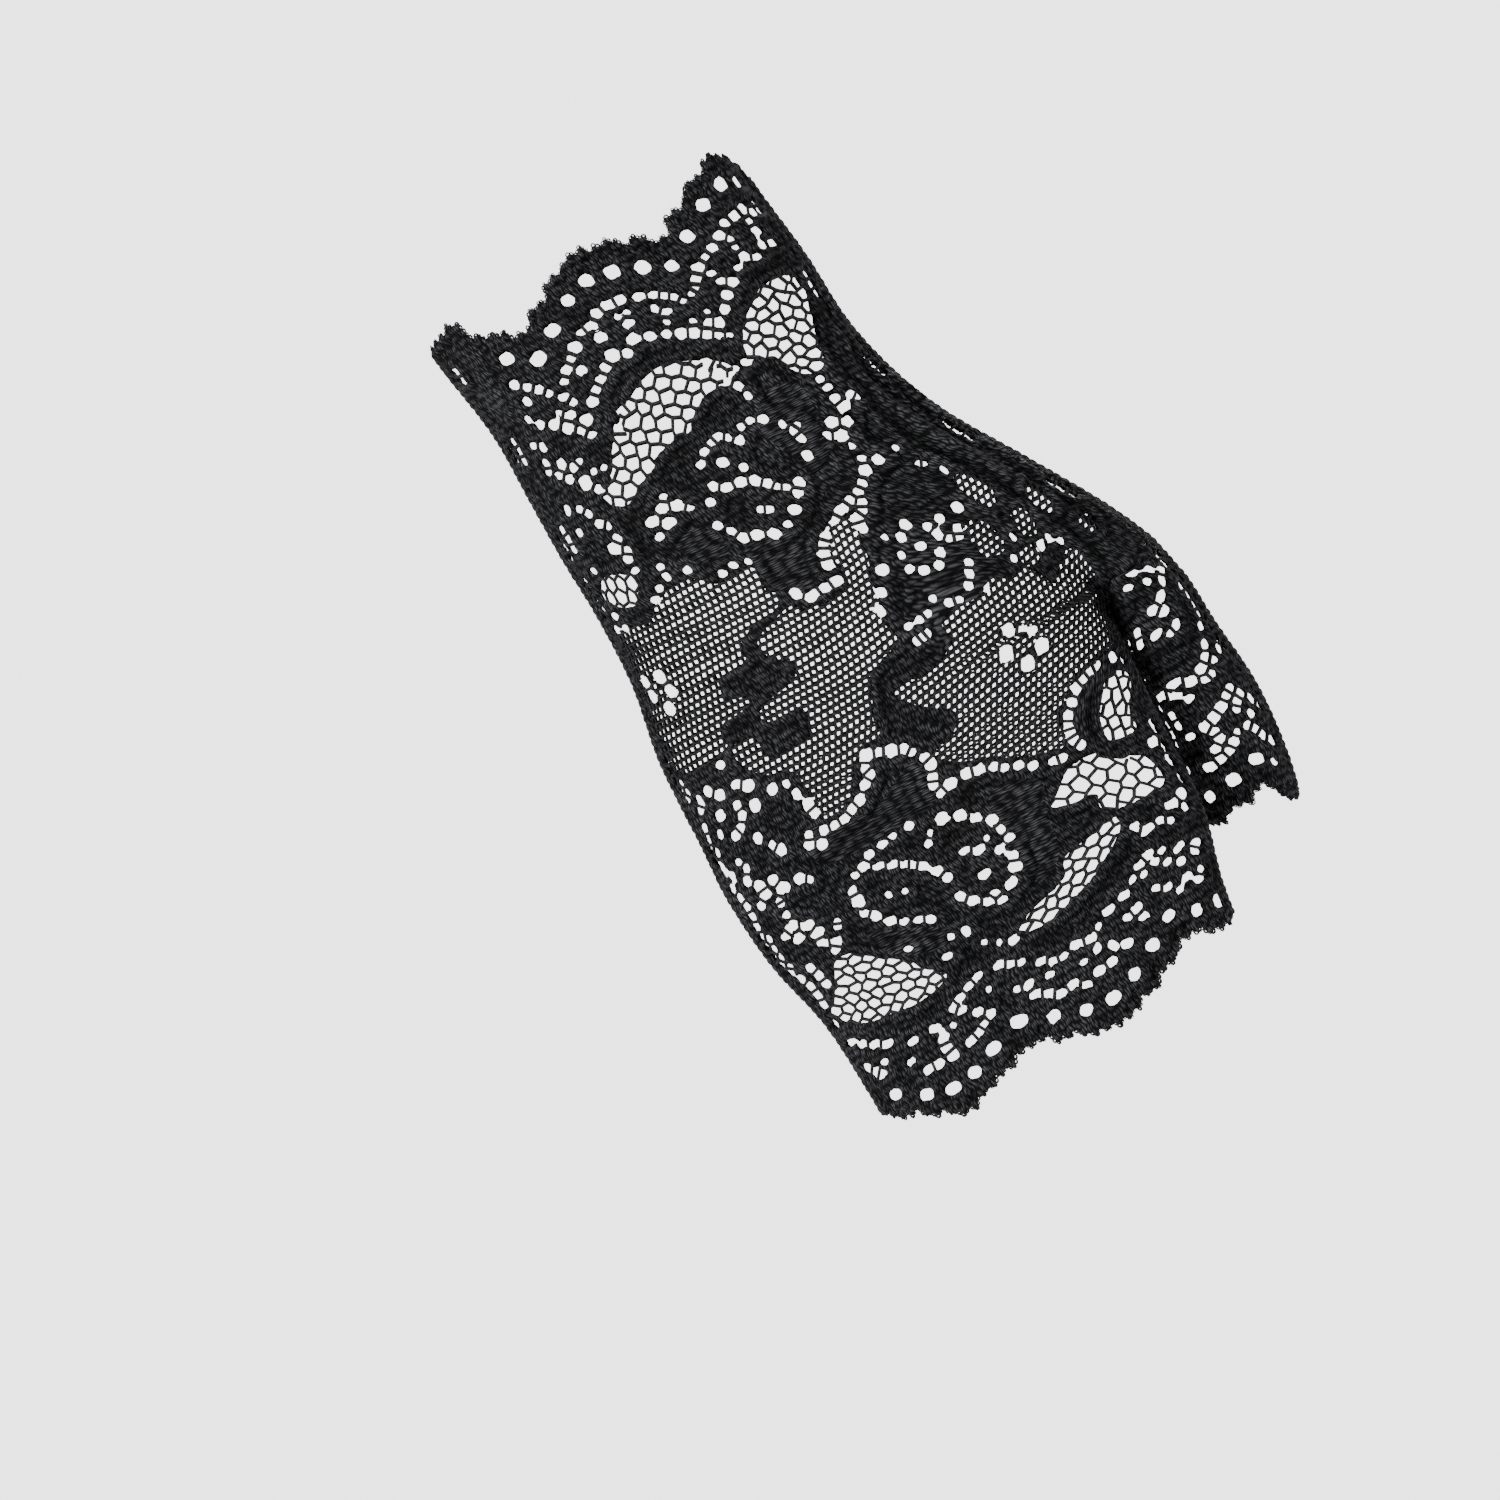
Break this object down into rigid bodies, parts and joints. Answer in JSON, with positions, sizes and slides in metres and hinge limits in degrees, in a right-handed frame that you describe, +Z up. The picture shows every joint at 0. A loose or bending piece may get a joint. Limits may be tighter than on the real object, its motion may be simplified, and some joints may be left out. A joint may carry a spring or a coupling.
{
  "type": "fingerless lace evening glove",
  "caption": "Short fingerless lace glove for a right hand, worn form: mitten-shaped lace panels with scalloped pierced edges, a thumb sleeve and overlocked seams.",
  "frame": {"origin": "the middle of the wrist, inside the glove, where a wrist would sit", "axes": "+Z up the forearm towards the cuff with the fingers' edge down, +X to the thumb's side, -Y towards the back of the hand and +Y towards the palm"},
  "size_m": [0.1095, 0.0519, 0.1841],
  "materials": {
    "lace": "matte",
    "seam_thread": "matte"
  },
  "bodies": {
    "root": {"back_panel": "lace", "palm_panel": "lace", "little_finger_seam": "seam_thread", "thumb_side_seam": "seam_thread", "index_seam": "seam_thread", "inner_thumb_seam": "seam_thread"}
  },
  "joints": []
}
